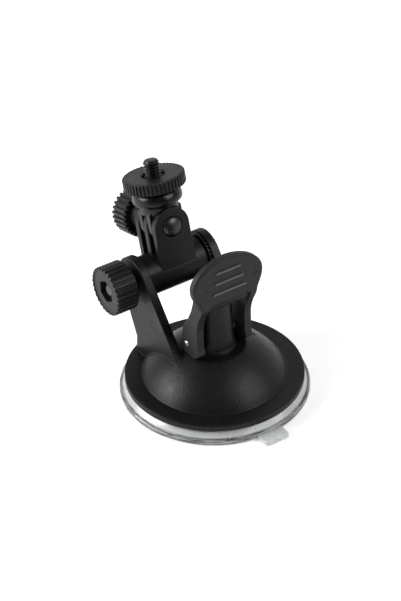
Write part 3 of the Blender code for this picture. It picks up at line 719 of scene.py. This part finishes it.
# ------------------------------------------------------------------ tilt screw
def tilt_screw():
    world = TILT @ Z_TO_Y
    face = -7.9 + 1.2 - GAP
    lo, hi = 13.7, 23.4
    end = hi - 1.8
    m4 = thread(2.0, 0.7, 0.36, 15.0, end - 0.4)
    prof = [(0, end), (1.6, end), (1.98, end - 0.35)] + rows(2.0, end - 0.4, 15.0, 0.06)
    prof += [(2.0, 14.8), (2.0, face), (4.15, face, 0.08), (4.15, face - 0.9, 0.25),
             (3.85, face - 1.35), (3.35, face - 1.72), (2.8, face - 1.98), (2.1, face - 2.18),
             (1.4, face - 2.31), (0.7, face - 2.38), (0, face - 2.4)]
    piece("tilt_bolt_piece", lathe(prof, 64, wave=m4), BOLT, "barrel", "tilt_bolt", world)
    back = 7.9 + GAP
    washer = lathe([(2.3, back + 0.9, 0.1), (4.6, back + 0.9, 0.15), (4.6, back, 0.15),
                    (2.3, back, 0.1)], 96, closed=True)
    piece("tilt_washer_piece", washer, STEEL, "barrel", "tilt_washer", world)
    r, c0 = 9.6, back + 1.2
    prof = [(2.4, c0), (5.8, c0), (6.2, c0 + 0.4, 0.2), (6.2, lo, 0.2), (8.5, lo), (r - 0.35, lo, 0.1),
            (r, lo + 0.35, 0.3), (r, lo + 1.2), (r, 18.5), (r, hi - 1.2), (r, hi - 0.4, 0.3),
            (r - 0.35, hi, 0.1), (8.75, hi, 0.1), (8.45, hi - 0.05, 0.1), (8.25, hi - 0.4),
            (2.4, hi - 0.4)]
    knob = lathe(prof, 28 * 14, closed=True, wave=ribs(28, 0.85, 8.7, 0.26, 0.28))
    knob = cut(knob, slab(hexagon(7.5), hi - 5.8, hi + 1, 0.0))
    piece("tilt_hand_knob", knob, KNOB, "tilt_knob_body", "tilt_knob", world)
    nut = hex_nut(7.0, hi - 5.5, hi - 2.3, 2.3)
    piece("tilt_hex_nut", nut, STEEL, "tilt_knob_body", "tilt_nut", world)


# ------------------------------------------------------------------ tilt head
def tilt_head():
    t = 15.25
    crown = [(7.3 + 2.8 * math.sin(math.pi / 2 * i / 16), t - 4.3 + 4.3 * math.cos(math.pi / 2 * i / 16))
             for i in range(17)]
    prof = [(0, 8.9), (5.4, 8.9), (5.4, 12.3), (3.475, 12.3), (3.475, t)] + crown
    prof += [(10.1, t - 4.7, 0.8), (9.7, t - 5.5, 1.2), (9.0, t - 6.1, 1.0), (7.85, t - 6.5, 0.5),
             (7.85, 5.7), (0, 5.7)]
    head = lathe(prof, 160, seg=5)
    head = cut(head, rod(8.3, -12, 12, 128, to=Z_TO_Y))
    n = 48
    for k in (-1, 1):
        mid = k * 3.2
        pts = [(5.6, 8.7), (-5.6, 8.7), (-7.5, 6.4, 1.0)]
        pts += [(-7.5 * math.cos(math.pi * i / n), -7.5 * math.sin(math.pi * i / n))
                for i in range(n + 1)]
        pts += [(7.5, 6.4, 1.0)]
        head = add(head, slab(pts, -(mid + 1.4), -(mid - 1.4), 0.35, 4, to=XZ_PLATE))
    head = cut(head, rod(2.3, -10, 10, 64, to=Z_TO_Y))
    piece("tilt_neck", head, GLOSSY, "head", "tilt_head", TILT, sharp=30)

    tip = 26.6
    r = 3.175
    unc = thread(r, 1.27, 0.72, 12.6, tip - 0.95)
    prof = [(0, tip), (2.2, tip), (2.45, tip - 0.06), (2.95, tip - 0.72, 0.1)]
    prof += rows(r, tip - 0.95, 12.6, 0.085) + [(3.0, 12.4), (3.0, 12.0), (5.1, 12.0, 0.2),
                                               (5.1, 9.2, 0.3), (0, 9.2)]
    piece("camera_screw_piece", lathe(prof, 96, wave=unc), SCREW, "head",
          "camera_screw", TILT)

    lo, hi, r = 15.75, 20.45, 12.5
    prof = [(4.7, lo), (10.8, lo), (r - 0.3, lo, 0.1), (r, lo + 0.35, 0.2), (r, lo + 1.2),
            (r, hi - 1.2), (r, hi - 0.35, 0.2), (r - 0.35, hi, 0.12), (11.4, hi), (11.25, hi - 0.12),
            (11.05, hi - 0.12), (10.9, hi), (5.3, hi, 0.1), (4.7, hi - 0.5, 0.2), (4.7, hi - 1.6)]
    wheel = lathe(prof, 48 * 10, closed=True, wave=ribs(48, 0.62, 11.8, 0.22, 0.26))
    piece("knurled_wheel", wheel, KNOB, "wheel", "lock_wheel", TILT)
    lo, hi = 16.05, 19.25
    insert = lathe([(3.475, hi - 0.25), (3.8, hi, 0.05), (4.4, hi, 0.15), (4.4, lo), (3.475, lo)],
                   96, closed=True)
    piece("threaded_insert", insert, BRASS_DARK_AS_SHADE, "wheel", "wheel_insert", TILT)


suction_cup()
base_cover()
stud_and_pin()
lock_lever()
clamp_screw()
pivot_barrel()
tilt_screw()
tilt_head()


# ------------------------------------------------------------------ floor, light, camera
def floor():
    me = bpy.data.meshes.new("floor")
    bm = bmesh.new()
    bmesh.ops.create_grid(bm, x_segments=24, y_segments=24, size=6.0)
    for v in bm.verts:
        v.co.z = -0.0001
    bm.to_mesh(me)
    bm.free()
    g = Graph("pale_floor")
    soft = g.noise(6.0, 2.0)
    g.set(Base_Color=g.mix(soft, (0.90, 0.90, 0.90, 1.0), (0.93, 0.93, 0.93, 1.0)))
    g.set(Roughness=g.span(soft, 0.3, 0.7, 0.85, 0.95))
    g.shader.inputs["Specular IOR Level"].default_value = 0.15
    g.shader.inputs["Emission Color"].default_value = (1.0, 1.0, 1.0, 1.0)
    g.shader.inputs["Emission Strength"].default_value = 0.32
    me.materials.append(g.mat)
    ob = bpy.data.objects.new("floor", me)
    bpy.context.scene.collection.objects.link(ob)


def softbox(name, place, aim, size, watts):
    lamp = bpy.data.lights.new(name, "AREA")
    lamp.shape = "RECTANGLE"
    lamp.size, lamp.size_y = size
    lamp.energy = watts
    ob = bpy.data.objects.new(name, lamp)
    ob.location = place
    ob.rotation_euler = (Vector(aim) - Vector(place)).to_track_quat("-Z", "Y").to_euler()
    bpy.context.scene.collection.objects.link(ob)


floor()
scene = bpy.context.scene
def studio_world():
    """A dim studio: white low behind the object, grey overhead, darker where the camera stands."""
    w = bpy.data.worlds.new("studio")
    w.use_nodes = True
    tree = w.node_tree
    back = tree.nodes["Background"]

    def put(kind, **props):
        n = tree.nodes.new(kind)
        for key, value in props.items():
            setattr(n, key, value)
        return n

    def step(value, a, b, top):
        n = put("ShaderNodeMapRange", interpolation_type="SMOOTHSTEP")
        tree.links.new(value, n.inputs["Value"])
        for key, v in (("From Min", a), ("From Max", b), ("To Min", 0.0), ("To Max", top)):
            n.inputs[key].default_value = v
        return n.outputs[0]

    def op(kind, a, b):
        n = put("ShaderNodeMath", operation=kind)
        for socket, value in zip(n.inputs, (a, b)):
            if isinstance(value, float):
                socket.default_value = value
            else:
                tree.links.new(value, socket)
        return n.outputs[0]

    way = put("ShaderNodeTexCoord").outputs["Generated"]
    dot = put("ShaderNodeVectorMath", operation="DOT_PRODUCT")
    tree.links.new(way, dot.inputs[0])
    dot.inputs[1].default_value = (0.543, 0.839, 0.0)
    z = put("ShaderNodeSeparateXYZ")
    tree.links.new(way, z.inputs[0])
    z = z.outputs[2]
    behind = op("MULTIPLY", step(dot.outputs["Value"], 0.0, 0.55, 1.0), step(z, 0.80, 0.55, BACK_GLOW))
    low = step(z, 0.20, 0.02, HORIZON)
    over = step(z, 0.55, 0.95, OVERHEAD)
    total = op("ADD", op("ADD", op("MAXIMUM", behind, low), over), AMBIENT)
    tree.links.new(total, back.inputs[1])
    back.inputs[0].default_value = (1.0, 1.0, 1.0, 1.0)
    return w


AMBIENT, BACK_GLOW, HORIZON, OVERHEAD = 0.10, 0.72, 0.58, 0.23
scene.world = studio_world()
scene.view_settings.view_transform = "Standard"
scene.view_settings.look = "None"

MID = (0.0, 0.012, 0.035)
softbox("left", (-0.47, 0.25, 0.30), MID, (0.34, 0.26), 4.2)
softbox("right", (0.36, -0.50, 0.53), MID, (0.50, 0.50), 4.0)

cam = bpy.data.cameras.new("camera")
cam.sensor_fit = "VERTICAL"
cam.sensor_height = 36.0
cam.sensor_width = 36.0
cam.lens = 135.57048
cam.clip_start, cam.clip_end = 0.05, 60.0
view = bpy.data.objects.new("camera", cam)
right = Vector((0.8310057, -0.5559061, -0.0199487))
up = Vector((0.3439051, 0.4852443, 0.8039075))
back = Vector((-0.4372171, -0.6749122, 0.5944197))
turn = Matrix((right, up, back)).transposed().to_4x4()
view.matrix_world = Matrix.Translation((-0.388699, -0.590953, 0.564818)) @ turn
scene.collection.objects.link(view)
scene.camera = view
